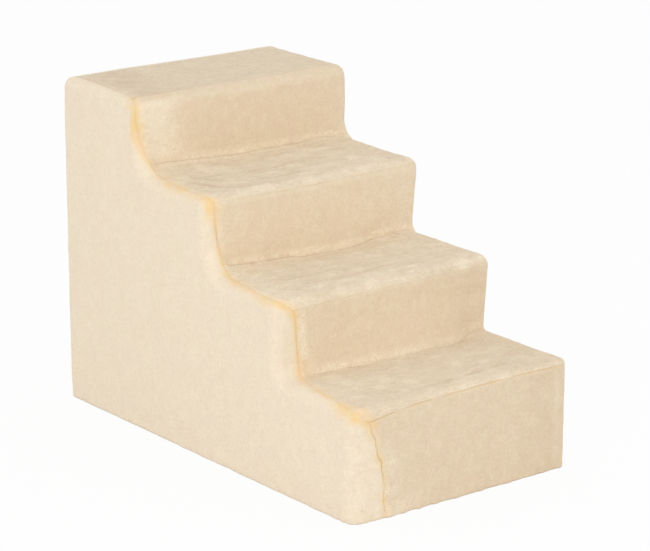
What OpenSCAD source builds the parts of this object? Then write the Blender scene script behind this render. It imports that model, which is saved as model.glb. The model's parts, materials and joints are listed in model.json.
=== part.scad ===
// Four-step pet stairs: a snap-together plastic frame under a fitted plush cover.
// X runs side to side, Y from the lowest step (-Y) to the back (+Y), Z up.
// The origin lies on the floor, under the middle of the stairs.

/* [Overall size] */
// Width over the cover, side to side
overall_w = 380; // [320:5:460]
// Depth over the cover, front to back
overall_d = 700; // [670:5:780]
// Height from the floor to the top tread
overall_h = 500; // [460:5:560]

/* [Steps] */
// Height of the lowest tread above the floor
first_rise = 162; // [145:1:180]
// Depth of the top tread
top_d = 196; // [170:1:220]
// How far the upper risers lean back from nose to foot
riser_lean = 7; // [0:1:10]
// Round of the three upper noses
nose_r = 18; // [14:1:22]
// Round of the lowest nose
low_nose_r = 9; // [7:1:14]
// Round of the upper back edge
back_r = 17; // [12:1:20]
// Round of all the edges of the two sides
edge_r = 16; // [13:0.5:17]
// Hollow round of the cover at the two upper inner corners, left side
hollow_r = 45; // [30:1:50]
// Hollow round of the cover at the lowest inner corner, left side
low_hollow_r = 22; // [14:1:45]
// Hollow round of the cover at the top inner corner, right side
right_top_hollow_r = 30; // [10:1:45]
// Hollow round of the cover at the middle inner corner, right side
right_mid_hollow_r = 14; // [8:1:45]
// Hollow round of the cover at the lowest inner corner, right side
right_low_hollow_r = 9; // [8:1:45]

/* [Cover] */
// Thickness of the plush with its pile
cover_t = 5; // [4:0.5:7]
// Width of side cover that wraps over the left edge of the steps
wrap_left = 20; // [18:1:28]
// Width of side cover that wraps over the right edge of the steps
wrap_right = 18; // [18:1:24]
// Drop from a tread down to the seam under its nose
nose_seam = 13; // [11:1:24]
// Distance from the top nose back to the seam on the top tread
top_seam = 14; // [8:1:30]
// Width of the hem turned in under the frame
hem_w = 31; // [30:1:36]
// Height of the hem above the floor
hem_lift = 1; // [0.5:0.5:2]
// Depth of the flaps tucked in at the inner corners
flap_h = 30; // [20:1:38]
// Thickness of the tucked flaps
flap_t = 2; // [1.5:0.5:3]
// Distance from the sides to the ends of the tucked flaps
flap_in = 40; // [34:1:80]

/* [Frame] */
// Thickness of the moulded side panels
web_t = 3; // [2.5:0.5:4]
// Hollow round of the frame's inner corners, measured at the outside of the cover
frame_hollow_r = 6; // [3:1:8]
// Thickness of the tread, riser and back boards
board_t = 3; // [2.5:0.5:4]
// Width of the ledge that carries the boards
ledge_w = 24; // [21:1:26]
// Thickness of the ledge
ledge_t = 3; // [2.5:0.5:4]
// Drop of the lip at the front of each tread board
lip_h = 30; // [26:1:36]
// How far the back board stands in behind the cover
back_set = 7; // [6.5:0.5:9]
// Depth of the stiffening ribs
rib_h = 12; // [8:1:16]
// Thickness of the stiffening ribs
rib_t = 2.5; // [2:0.5:3]
// Diameter of the pegs that lock the boards to the ledges
peg_d = 5; // [4:0.5:6]
// Length of the pegs
peg_l = 9; // [7:0.5:10]
// Width of the flange along the bottom of each side panel
base_w = 60; // [58:1:66]
// Thickness of the bottom flange
base_t = 3; // [2.5:0.5:4]

/* [Rails and screws] */
// Height of the rails across the bottom
rail_h = 40; // [32:1:50]
// Depth of the rails
rail_d = 24; // [20:1:28]
// Wall of the rails
rail_wall = 3; // [2.5:0.5:4]
// Length of the solid block at each end of a rail
block_l = 18; // [14:1:24]
// Diameter of the screw shanks
screw_d = 4; // [3:0.5:5]
// Length of the screws
screw_l = 14; // [12:1:16]
// Diameter of the countersunk screw heads
head_d = 8; // [7:0.5:9]

/* [Feet] */
// Diameter of the rubber feet
foot_d = 24; // [18:1:24]
// Distance from the front or back to the middle of a foot
foot_in = 70; // [60:1:110]
// Diameter of the stem pushed through the bottom flange
stem_d = 6; // [5:0.5:8]
// Diameter of the barb above the flange
barb_d = 9; // [8.5:0.5:11]
// Height of the barb
barb_h = 3; // [2:0.5:5]

/* [Hook and loop tapes] */
// Width of the tapes
tape_w = 14; // [10:0.5:14]
// Thickness of one tape
tape_t = 1.2; // [1:0.1:1.5]
// Distance from the corners of the cover to the ends of the tapes
tape_end = 70; // [50:1:100]

/* [Zip] */
// Height of the lower end of the zip
zip_low = 42; // [38:1:48]
// Distance from the top of the stairs down to the upper end of the zip
zip_top_in = 62; // [56:1:90]
// Half width of the opening that shows the zip
zip_slot = 7; // [6.5:0.5:9]
// How far the zip lies in behind the back of the cover
zip_set = 9; // [8.8:0.1:9.2]
// Width of each zip tape
zip_tape_w = 15; // [12:1:18]
// Thickness of the zip tape
zip_tape_t = 1; // [0.8:0.1:1.2]
// Width of each row of teeth
tooth_w = 3; // [2.5:0.1:3.2]
// Height of the teeth over the tape
tooth_h = 2.2; // [1.8:0.1:2.2]
// Distance from one tooth to the next
tooth_pitch = 4; // [3:0.5:5]
// Half width of the slit between the two rows
slit = 0.7; // [0.7:0.05:0.8]
// Length of the slider
slider_l = 14; // [11:1:16]
// Thickness of the slider's plates
plate_t = 1.2; // [1:0.1:1.2]
// Length of the pull from its pivot
pull_l = 28; // [20:1:30]
// Width of the pull
pull_w = 8; // [6:0.5:9]
// Thickness of the pull
pull_t = 1.4; // [1:0.1:1.6]
// Diameter of the bar that carries the pull
bar_d = 1.6; // [1.4:0.1:1.8]

/* [Hidden] */

steps = 4;
arc_steps = 6;
edge_steps = 4;
$fn = 48;

// Clearance between pieces that fit together
fit = 0.3;
// Gap left along each seam
seam_gap = 0.4;
// How far shapes that are joined in one piece run into each other
bite = 1;
// Smallest round left where an outline is set far in
least_r = 0.5;
// How far a cut runs past what it cuts
overrun = 2;
// Running clearance of the slider and the pull
zip_play = 0.4;
// Room left in the cover below the hanging pull
pull_room = 2;

plush = [0.93, 0.87, 0.76];
plush_side = [0.94, 0.89, 0.80];
plastic = [0.86, 0.86, 0.84];
rubber = [0.16, 0.16, 0.17];
steel = [0.72, 0.73, 0.75];
tape_white = [0.93, 0.92, 0.88];
tape_loop = [0.90, 0.86, 0.78];

half_w = overall_w / 2;
front_y = -overall_d / 2;
back_y = overall_d / 2;
rise = (overall_h - first_rise) / (steps - 1);
run = (overall_d - top_d) / (steps - 1);

// Distances in from the outside of the cover
frame_in = cover_t + fit;
ledge_in = frame_in + board_t + fit;
board_back_in = frame_in + back_set;
ledge_back_in = board_back_in + board_t + fit;

// The hem, two tapes and then the frame lie above one another
hem_top = hem_lift + cover_t;
frame_z = hem_top + 2 * tape_t;
panel_x = half_w - frame_in;
web_x = panel_x - web_t;
curl_x = half_w - edge_r - bite;
board_x = curl_x - fit;
ledge_x = web_x - ledge_w;
rib_x = ledge_x - fit;
rail_x = web_x - fit;
corner_in = edge_r + fit;

function tread_z(i) = first_rise + i * rise;
function nose_y(i) = front_y + i * run;
function slope(i) = i == 0 ? 0 : riser_lean / rise;
function across(i) = sqrt(1 + slope(i) * slope(i));
function nose_round(i) = i == 0 ? low_nose_r : nose_r;

// Hollow rounds of the three inner corners, from the lowest up
frame_hollows = [frame_hollow_r, frame_hollow_r, frame_hollow_r];
left_hollows = [low_hollow_r, hollow_r, hollow_r];
right_hollows = [right_low_hollow_r, right_mid_hollow_r, right_top_hollow_r];
sharp = [];

// Y of riser i at height z, a distance in behind the outside
function riser_y(i, inset, z) =
    nose_y(i) + slope(i) * (tread_z(i) - z) + inset * across(i);
function nose_at(i, inset) =
    [riser_y(i, inset, tread_z(i) - inset), tread_z(i) - inset];
function foot_at(i, inset) =
    [riser_y(i, inset, tread_z(i - 1) - inset), tread_z(i - 1) - inset];

function unit(v) = v / norm(v);

// Points of the arc of radius r that rounds the corner at p
function corner_arc(before, p, after, r) =
    r <= 0 ? [p] :
    let (
        a = unit(before - p),
        b = unit(after - p),
        half = acos(a * b) / 2,
        centre = p + unit(a + b) * r / sin(half),
        first = p + a * r / tan(half) - centre,
        start = atan2(first[1], first[0]),
        turn = sign(cross(-a, b)) * (180 - 2 * half)
    )
    [for (k = [0 : arc_steps])
        centre + r * [cos(start + turn * k / arc_steps), sin(start + turn * k / arc_steps)]];

function rounded(points, radii) =
    let (n = len(points))
    [for (i = [0 : n - 1])
        each corner_arc(points[(i + n - 1) % n], points[i], points[(i + 1) % n], radii[i])];

// Side outline of the stairs in Y and Z, a distance in from the outside
function stair_points(inset, back_in, base) = concat(
    [[front_y + inset, base], nose_at(0, inset)],
    [for (i = [1 : steps - 1]) each [foot_at(i, inset), nose_at(i, inset)]],
    [[back_y - back_in, overall_h - inset], [back_y - back_in, base]]);

function stair_radii(inset, back_in, hollows) = concat(
    [0, max(nose_round(0) - inset, least_r)],
    [for (i = [1 : steps - 1])
        each [hollows == sharp ? 0 : hollows[i - 1] + inset, max(nose_round(i) - inset, least_r)]],
    [max(back_r - max(inset, back_in), least_r), 0]);

module stair_shape(inset, back_in, hollows, base) {
    polygon(rounded(stair_points(inset, back_in, base), stair_radii(inset, back_in, hollows)));
}

// Strip that follows the outline of the stairs, open along the bottom
module stair_strip(inset, back_in, thick, base) {
    difference() {
        stair_shape(inset, back_in, sharp, base);
        stair_shape(inset + thick, back_in + thick, sharp, base - overrun);
    }
}

// Stands a Y-Z shape up and gives it a width from one x to another
module along_x(from_x, to_x) {
    translate([from_x, 0, 0])
        rotate([90, 0, 90])
            linear_extrude(to_x - from_x)
                children();
}

module box_between(low, high) {
    translate(low) cube(high - low);
}

// Outline of one slice through a side whose edges are rounded: at 0 degrees the
// slice is the flat side itself, at 90 degrees it is the full outline
function edge_ring(edge, angle, base, hollows) =
    let (
        inset = edge_r - edge * sin(angle),
        ring = rounded(stair_points(inset, inset, base), stair_radii(inset, inset, hollows))
    )
    [for (p = ring) [half_w - edge_r + edge * cos(angle), p[0], p[1]]];

// Solid side of the stairs, its edges rounded by the given radius, in to from_x.
// Both flat ends fan out from the lower back corner, which sees the whole outline.
module rounded_side(edge, from_x, base, hollows) {
    rings = concat(
        [for (k = [0 : edge_steps]) edge_ring(edge, 90 * k / edge_steps, base, hollows)],
        [[for (p = edge_ring(edge, 90, base, hollows)) [from_x, p[1], p[2]]]]);
    n = len(rings[0]);
    last = len(rings) - 1;
    polyhedron(
        points = [for (ring = rings) each ring],
        faces = concat(
            [for (j = [0 : n - 3]) [n - 1, j, j + 1]],
            [for (k = [0 : last - 1]) for (j = [0 : n - 1])
                each [
                    [k * n + j, (k + 1) * n + j, (k + 1) * n + (j + 1) % n],
                    [k * n + j, (k + 1) * n + (j + 1) % n, k * n + (j + 1) % n]]],
            [for (j = [0 : n - 3]) [last * n + n - 1, last * n + j + 1, last * n + j]]));
}

// Rounded side made hollow: a sheet of the given thickness, open along the bottom
module rounded_sheet(edge, thick, from_x, base, hollows) {
    difference() {
        rounded_side(edge, from_x, base, hollows);
        rounded_side(edge - thick, from_x - overrun, base - overrun, hollows);
    }
}

// Side panels: moulded sheet with rounded edges, ledges, ribs and a bottom flange

peg_shares = [0.32, 0.70];
riser_peg_shares = [0.50, 0.80];
back_peg_shares = [0.20, 0.50, 0.80];
peg_hole_d = peg_d + 2 * fit;
peg_x = (ledge_x + board_x) / 2;

function riser_top_z(i) = tread_z(i) - frame_in - lip_h - fit;
function riser_low_z(i) = i == 0 ? frame_z : tread_z(i - 1) - frame_in - board_t;
function riser_peg_z(i, share) =
    riser_low_z(i) + share * (riser_top_z(i) - riser_low_z(i));
function tread_rear_y(i) =
    i == steps - 1 ? back_y : riser_y(i + 1, frame_in - 2 * fit - flap_t, tread_z(i) - frame_in);
function tread_peg_y(i, share) = nose_y(i) + share * (tread_rear_y(i) - nose_y(i));

// The back board ends just under the round of the top tread board's rear edge
top_round = max(back_r - frame_in - board_t, least_r);
top_reach = max(top_round + board_t - back_set, 0);
back_top_z = overall_h - frame_in - board_t - top_round
    + sqrt(top_round * top_round - top_reach * top_reach) - fit;
function back_peg_z(share) = frame_z + share * (back_top_z - frame_z);

// Flat outline of riser i between two insets and two heights
module riser_shape(i, inset, deep, low, high) {
    polygon([
        [riser_y(i, inset, low), low],
        [riser_y(i, deep, low), low],
        [riser_y(i, deep, high), high],
        [riser_y(i, inset, high), high]]);
}

// Places of the pegs under tread i, behind riser i and inside the back board,
// each turned so that +Z runs from the board into the ledge
module at_tread_pegs(i) {
    for (share = peg_shares)
        translate([peg_x, tread_peg_y(i, share), tread_z(i) - frame_in - board_t + bite])
            rotate([180, 0, 0])
                children();
}

module at_riser_pegs(i) {
    lean = atan(slope(i));
    for (share = riser_peg_shares)
        translate([
            peg_x,
            riser_y(i, frame_in + board_t - bite, riser_peg_z(i, share)),
            riser_peg_z(i, share)])
            rotate([-90 + lean, 0, 0])
                children();
}

module at_back_pegs() {
    for (share = back_peg_shares)
        translate([peg_x, back_y - board_back_in - board_t + bite, back_peg_z(share)])
            rotate([90, 0, 0])
                children();
}

module peg() {
    cylinder(d = peg_d, h = peg_l);
}

module peg_holes() {
    for (i = [0 : steps - 1]) {
        at_tread_pegs(i) cylinder(d = peg_hole_d, h = peg_l + overrun);
        at_riser_pegs(i) cylinder(d = peg_hole_d, h = peg_l + overrun);
    }
    at_back_pegs() cylinder(d = peg_hole_d, h = peg_l + overrun);
}

// Both sides of the stairs
module both() {
    children();
    mirror([1, 0, 0]) children();
}

rail_ys = [
    front_y + corner_in,
    -rail_d / 2,
    back_y - ledge_back_in - ledge_t - fit - rail_d];
screw_shares = [0.32, 0.76];
function screw_z(share) = frame_z + share * rail_h;

module at_screws() {
    for (y = rail_ys)
        for (share = screw_shares)
            translate([panel_x, y + rail_d / 2, screw_z(share)])
                rotate([0, -90, 0])
                    children();
}

head_share = 0.6;
head_h = web_t * head_share;

foot_x = half_w - hem_w - foot_d / 2 - bite;
foot_y = back_y - foot_in;

panel_rib_shares = [0.18, 0.36, 0.54, 0.72, 0.88];
panel_rib_h = rib_h / 2;

module ledge_shape() {
    stair_strip(ledge_in, ledge_back_in, ledge_t, frame_z);
}

module side_panel() {
    difference() {
        union() {
            rounded_sheet(edge_r - frame_in, web_t, curl_x, frame_z, frame_hollows);
            along_x(ledge_x, web_x - bite)
                ledge_shape();
            along_x(web_x - 2 * bite, web_x + bite)
                intersection() {
                    ledge_shape();
                    stair_shape(ledge_in + 2 * bite, ledge_back_in, frame_hollows, frame_z);
                }
            box_between(
                [panel_x - base_w, front_y + corner_in, frame_z],
                [web_x + bite, back_y - ledge_back_in, frame_z + base_t]);
            intersection() {
                along_x(web_x - panel_rib_h, web_x + bite)
                    stair_shape(ledge_in + ledge_t, ledge_back_in + ledge_t, sharp, frame_z);
                for (share = panel_rib_shares)
                    box_between(
                        [0, front_y + share * overall_d, frame_z],
                        [panel_x, front_y + share * overall_d + rib_t, overall_h]);
            }
        }
        peg_holes();
        at_screws() {
            translate([0, 0, -overrun]) cylinder(d = screw_d + 2 * fit, h = web_t + 2 * overrun);
            translate([0, 0, -overrun]) cylinder(d = head_d + 2 * fit, h = head_h + overrun);
        }
        for (y = [-foot_y, foot_y])
            translate([foot_x, y, 0])
                cylinder(d = stem_d + 2 * fit, h = frame_z + base_t + overrun);
    }
}

module right_side_panel() {
    color(plastic) side_panel();
}

module left_side_panel() {
    color(plastic) mirror([1, 0, 0]) side_panel();
}

// Tread boards: plate with a rounded lip in front, ribs and pegs below

rib_x_shares = [-0.6, 0, 0.6];

module tread_board(i) {
    top = tread_z(i) - frame_in;
    rear = tread_rear_y(i);
    rib_front = riser_y(i, ledge_in + board_t, top);
    rib_rear = i == steps - 1
        ? back_y - ledge_back_in - ledge_t - fit
        : riser_y(i + 1, ledge_in + board_t, top) - 2 * board_t - 2 * flap_t;
    color(plastic) {
        intersection() {
            along_x(-board_x, board_x)
                stair_strip(frame_in, frame_in, board_t, 0);
            box_between([-half_w, nose_y(i), top - lip_h], [half_w, rear, top + overrun]);
        }
        both() at_tread_pegs(i) peg();
        for (share = rib_x_shares)
            box_between(
                [share * rib_x - rib_t / 2, rib_front, top - board_t - rib_h],
                [share * rib_x + rib_t / 2, rib_rear, top - board_t + bite]);
        for (y = [rib_front, rib_rear - rib_t])
            box_between(
                [-rib_x, y, top - board_t - rib_h],
                [rib_x, y + rib_t, top - board_t + bite]);
    }
}

module tread_board_1() { tread_board(0); }
module tread_board_2() { tread_board(1); }
module tread_board_3() { tread_board(2); }
module tread_board_4() { tread_board(3); }

// Riser boards: plate that stands on the ledge behind the tread below it,
// with a tongue up behind the lip above and a foot down between the ledges

module riser_board(i) {
    low = riser_low_z(i);
    high = riser_top_z(i);
    color(plastic) {
        along_x(-board_x, board_x)
            riser_shape(i, frame_in, frame_in + board_t, low, high);
        along_x(-rib_x, rib_x)
            riser_shape(i, ledge_in, ledge_in + board_t, high - 2 * board_t, high + rib_h);
        along_x(-rib_x, rib_x)
            riser_shape(i, frame_in + bite, ledge_in + bite, high - 2 * board_t, high - board_t);
        if (i > 0)
            along_x(-rib_x, rib_x)
                riser_shape(i, frame_in, frame_in + board_t, low - rib_h, low + bite);
        both() at_riser_pegs(i) peg();
    }
}

module riser_board_1() { riser_board(0); }
module riser_board_2() { riser_board(1); }
module riser_board_3() { riser_board(2); }
module riser_board_4() { riser_board(3); }

// Back board: flat plate with upright ribs and pegs inside

module back_board() {
    out = back_y - board_back_in;
    color(plastic) {
        box_between([-board_x, out - board_t, frame_z], [board_x, out, back_top_z]);
        both() at_back_pegs() peg();
        for (share = rib_x_shares)
            box_between(
                [share * rib_x - rib_t / 2, out - board_t - rib_h, frame_z + rail_h + overrun],
                [share * rib_x + rib_t / 2, out - board_t + bite, back_top_z - rib_h - overrun]);
    }
}

// Rails: channels across the bottom, open below, with a block at each end

module rail(y) {
    color(plastic) {
        difference() {
            box_between([-rail_x, y, frame_z], [rail_x, y + rail_d, frame_z + rail_h]);
            box_between(
                [block_l - rail_x, y + rail_wall, frame_z - overrun],
                [rail_x - block_l, y + rail_d - rail_wall, frame_z + rail_h - rail_wall]);
            both()
                box_between(
                    [panel_x - base_w - fit, y - overrun, frame_z - overrun],
                    [panel_x, y + rail_d + overrun, frame_z + base_t]);
            both()
                at_screws()
                    cylinder(d = screw_d, h = screw_l + overrun);
        }
    }
}

module front_rail() { rail(rail_ys[0]); }
module middle_rail() { rail(rail_ys[1]); }
module rear_rail() { rail(rail_ys[2]); }

// Countersunk screws through the side panels into the rail ends

module rail_screws() {
    color(steel)
        at_screws() {
            cylinder(d = screw_d - fit, h = screw_l);
            cylinder(d = head_d, h = head_h);
        }
}

module rail_screws_right() { rail_screws(); }
module rail_screws_left() { mirror([1, 0, 0]) rail_screws(); }

// Rubber feet with a stem and barb pushed up through the bottom flange

module foot(x, y) {
    barb_z = frame_z + base_t;
    color(rubber)
        translate([x, y, 0]) {
            cylinder(d = foot_d, h = frame_z);
            cylinder(d = stem_d, h = barb_z + barb_h);
            translate([0, 0, barb_z]) cylinder(d1 = barb_d, d2 = stem_d, h = barb_h);
        }
}

module foot_front_left() { foot(-foot_x, -foot_y); }
module foot_front_right() { foot(foot_x, -foot_y); }
module foot_rear_left() { foot(-foot_x, foot_y); }
module foot_rear_right() { foot(foot_x, foot_y); }

// Side covers: flat plush with an edge wrapped over the steps and a hem below

module side_cover(wrap, hollows) {
    color(plush_side) {
        rounded_sheet(edge_r, cover_t, half_w - wrap, hem_lift, hollows);
        box_between(
            [half_w - hem_w, front_y + edge_r, hem_lift],
            [half_w - cover_t + bite, back_y - edge_r, hem_top]);
    }
}

module right_side_cover() { side_cover(wrap_right, right_hollows); }
module left_side_cover() { mirror([1, 0, 0]) side_cover(wrap_left, left_hollows); }

strip_left = -half_w + wrap_left + seam_gap;
strip_right = half_w - wrap_right - seam_gap;
strip_rear = back_y - back_r - seam_gap;

// Tread covers: plush over each tread and its nose, down to the nose seam. The cover
// of the top tread ends at a seam on the tread, a little behind the nose.

module tread_cover(i) {
    top = i == steps - 1;
    low = top ? tread_z(i) - nose_r : tread_z(i) - nose_seam;
    first = top ? nose_y(i) + top_seam : nose_y(i) - overrun;
    rear = top ? strip_rear : riser_y(i + 1, 0, tread_z(i)) - seam_gap;
    color(plush)
        intersection() {
            along_x(strip_left, strip_right)
                stair_strip(0, 0, cover_t, 0);
            box_between([-half_w, first, low], [half_w, rear, tread_z(i) + overrun]);
        }
}

module tread_cover_1() { tread_cover(0); }
module tread_cover_2() { tread_cover(1); }
module tread_cover_3() { tread_cover(2); }
module tread_cover_4() { tread_cover(3); }

// Riser covers: plush from the nose seam down to the inner corner. The top one also
// goes over its nose.

module riser_cover(i) {
    top = i == steps - 1;
    high = tread_z(i) - (top ? nose_r : nose_seam + seam_gap);
    low = i == 0 ? hem_lift : tread_z(i - 1) - cover_t;
    color(plush) {
        along_x(strip_left, strip_right)
            intersection() {
                stair_strip(0, 0, cover_t, hem_lift);
                union() {
                    riser_shape(i, 0, cover_t + overrun, low, high);
                    if (top)
                        translate([nose_y(i) - overrun, high - bite])
                            square([top_seam - seam_gap + overrun, nose_r + overrun]);
                }
            }
        if (i == 0)
            box_between(
                [-half_w + hem_w + seam_gap, front_y + cover_t - bite, hem_lift],
                [half_w - hem_w - seam_gap, front_y + hem_w, hem_top]);
    }
}

module riser_cover_1() { riser_cover(0); }
module riser_cover_2() { riser_cover(1); }
module riser_cover_3() { riser_cover(2); }
module riser_cover_4() { riser_cover(3); }

// Back covers: the two halves of the back, turned in along the zip

tooth_count = floor((overall_h - zip_top_in - zip_low) / tooth_pitch);
zip_face = back_y - zip_set;
zip_high = zip_low + tooth_count * tooth_pitch;
turn_w = zip_tape_w / 5;
slider_z = zip_low + slider_l / 2 + zip_play;
slot_low = slider_z - pull_l - pull_room;
slot_high = zip_high + tooth_pitch;

module back_cover(wrap) {
    color(plush_side) {
        difference() {
            intersection() {
                along_x(slit, half_w - wrap - seam_gap)
                    stair_strip(0, 0, cover_t, hem_lift);
                box_between([0, back_y - back_r, 0], [half_w, back_y, overall_h]);
            }
            box_between(
                [0, back_y - back_r, slot_low],
                [zip_slot, back_y + overrun, slot_high]);
        }
        box_between(
            [zip_slot, zip_face, slot_low],
            [zip_slot + turn_w, back_y - cover_t + bite, slot_high]);
        box_between(
            [zip_slot + turn_w, back_y - hem_w, hem_lift],
            [half_w - hem_w - seam_gap, back_y - cover_t + bite, hem_top]);
    }
}

module back_cover_right() { back_cover(wrap_right); }
module back_cover_left() { mirror([1, 0, 0]) back_cover(wrap_left); }

// Flaps sewn under the inner corners and tucked in between the boards

module tuck_flap(i) {
    high = tread_z(i - 1) - cover_t;
    color(tape_loop)
        along_x(flap_in - half_w, half_w - flap_in)
            riser_shape(i, cover_t - flap_t, cover_t, high - flap_h, high);
}

module tuck_flap_1() { tuck_flap(1); }
module tuck_flap_2() { tuck_flap(2); }
module tuck_flap_3() { tuck_flap(3); }

// Hook tapes stuck under the frame, loop tapes sewn on the turned-in hem

module side_tape(z) {
    box_between(
        [half_w - corner_in - tape_w, front_y + tape_end, z],
        [half_w - corner_in, back_y - tape_end, z + tape_t]);
}

module front_tape(z) {
    box_between(
        [tape_end - half_w, front_y + corner_in, z],
        [half_w - tape_end, front_y + corner_in + tape_w, z + tape_t]);
}

module rear_tapes(z) {
    both()
        box_between(
            [base_w / 2, back_y - corner_in - tape_w, z],
            [half_w - tape_end, back_y - corner_in, z + tape_t]);
}

hook_z = hem_top + tape_t;

module hook_tape_right() { color(tape_white) side_tape(hook_z); }
module hook_tape_left() { color(tape_white) mirror([1, 0, 0]) side_tape(hook_z); }
module hook_tape_front() { color(tape_white) front_tape(hook_z); }
module hook_tape_rear() { color(tape_white) rear_tapes(hook_z); }
module loop_tape_right() { color(tape_loop) side_tape(hem_top); }
module loop_tape_left() { color(tape_loop) mirror([1, 0, 0]) side_tape(hem_top); }
module loop_tape_front() { color(tape_loop) front_tape(hem_top); }
module loop_tape_rear() { color(tape_loop) rear_tapes(hem_top); }

// Zip: two tapes with a row of teeth each, closed from the top down towards the hem

module zip_tape() {
    color(tape_loop)
        box_between(
            [slit, zip_face - zip_tape_t, slot_low - pull_room],
            [slit + zip_tape_w, zip_face, slot_high + pull_room]);
}

module zip_tape_right() { zip_tape(); }
module zip_tape_left() { mirror([1, 0, 0]) zip_tape(); }

module zip_teeth(shift) {
    color(plush_side) {
        box_between(
            [slit + tooth_w / 2, zip_face, zip_low],
            [slit + tooth_w, zip_face + tooth_h / 2, zip_high]);
        for (k = [0 : tooth_count - 1])
            translate([slit, zip_face, zip_low + (k + shift) * tooth_pitch])
                cube([tooth_w, tooth_h, tooth_pitch / 2]);
    }
}

module zip_teeth_right() { zip_teeth(0); }
module zip_teeth_left() { mirror([1, 0, 0]) zip_teeth(0.5); }

module zip_top_stop() {
    color(steel)
        translate([-slit - tooth_w, zip_face, zip_high])
            cube([2 * (slit + tooth_w), tooth_h, tooth_pitch / 2]);
}

module zip_end_stops() {
    color(steel)
        both()
            translate([slit, zip_face, zip_low - tooth_pitch / 2])
                cube([tooth_w, tooth_h, tooth_pitch / 2]);
}

// Slider: front and back plates joined by a post in the slit, and a bar for the pull

front_plate_y = zip_face + tooth_h + zip_play;
eye_r = bar_d / 2 + zip_play / 2 + bar_d / 2;
bar_y = front_plate_y + plate_t + zip_play / 2 + eye_r;
guide_x = slit + tooth_w + zip_play;
ear_x = pull_w / 4 + zip_play;

module zip_slider() {
    back_plate_y = zip_face - zip_tape_t - zip_play - plate_t;
    color(steel)
        translate([0, 0, slider_z]) {
            box_between(
                [-guide_x - plate_t, front_plate_y, -slider_l / 2],
                [guide_x + plate_t, front_plate_y + plate_t, slider_l / 2]);
            box_between(
                [-guide_x - plate_t, back_plate_y, -slider_l / 2],
                [guide_x + plate_t, back_plate_y + plate_t, slider_l / 2]);
            box_between(
                [zip_play - slit, back_plate_y, -slider_l / 6],
                [slit - zip_play, front_plate_y + plate_t, slider_l / 6]);
            both() {
                box_between(
                    [guide_x, zip_face + zip_play, -slider_l / 2],
                    [guide_x + plate_t, front_plate_y + plate_t / 2, slider_l / 2]);
                box_between(
                    [ear_x, front_plate_y + plate_t / 2, -eye_r],
                    [ear_x + plate_t, bar_y, eye_r]);
                translate([ear_x, bar_y, 0])
                    rotate([0, 90, 0])
                        cylinder(r = eye_r, h = plate_t);
            }
            translate([-ear_x - plate_t / 2, bar_y, 0])
                rotate([0, 90, 0])
                    cylinder(d = bar_d, h = 2 * ear_x + plate_t);
        }
}

// Pull: eye on the bar, a narrow neck and a rounded tab that hangs down

pull_tab_share = 0.8;

module zip_pull() {
    neck_w = pull_w / 2;
    color(steel)
        translate([0, bar_y, slider_z])
            difference() {
                union() {
                    translate([-neck_w / 2, 0, 0])
                        rotate([0, 90, 0])
                            cylinder(r = eye_r, h = neck_w);
                    translate([0, pull_t / 2, 0])
                        rotate([90, 0, 0])
                            linear_extrude(pull_t) {
                                translate([-neck_w / 2, -pull_l / 2])
                                    square([neck_w, pull_l / 2]);
                                translate([-pull_w / 2, pull_w / 2 - pull_l])
                                    square([pull_w, pull_l * pull_tab_share - pull_w / 2]);
                                translate([0, pull_w / 2 - pull_l])
                                    circle(d = pull_w);
                            }
                }
                translate([-pull_w, 0, 0])
                    rotate([0, 90, 0])
                        cylinder(d = bar_d + zip_play, h = 2 * pull_w);
                translate([0, -pull_t, pull_w / 2 - pull_l])
                    rotate([-90, 0, 0])
                        cylinder(d = pull_w / 3, h = 2 * pull_t);
            }
}

left_side_panel();
right_side_panel();
tread_board_1();
tread_board_2();
tread_board_3();
tread_board_4();
riser_board_1();
riser_board_2();
riser_board_3();
riser_board_4();
back_board();
front_rail();
middle_rail();
rear_rail();
rail_screws_left();
rail_screws_right();
foot_front_left();
foot_front_right();
foot_rear_left();
foot_rear_right();
left_side_cover();
right_side_cover();
tread_cover_1();
tread_cover_2();
tread_cover_3();
tread_cover_4();
riser_cover_1();
riser_cover_2();
riser_cover_3();
riser_cover_4();
back_cover_left();
back_cover_right();
tuck_flap_1();
tuck_flap_2();
tuck_flap_3();
hook_tape_left();
hook_tape_right();
hook_tape_front();
hook_tape_rear();
loop_tape_left();
loop_tape_right();
loop_tape_front();
loop_tape_rear();
zip_tape_left();
zip_tape_right();
zip_teeth_left();
zip_teeth_right();
zip_top_stop();
zip_end_stops();
zip_slider();
zip_pull();
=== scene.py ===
import json
import math

import bmesh
import bpy
import numpy as np
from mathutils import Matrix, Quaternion, Vector

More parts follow.
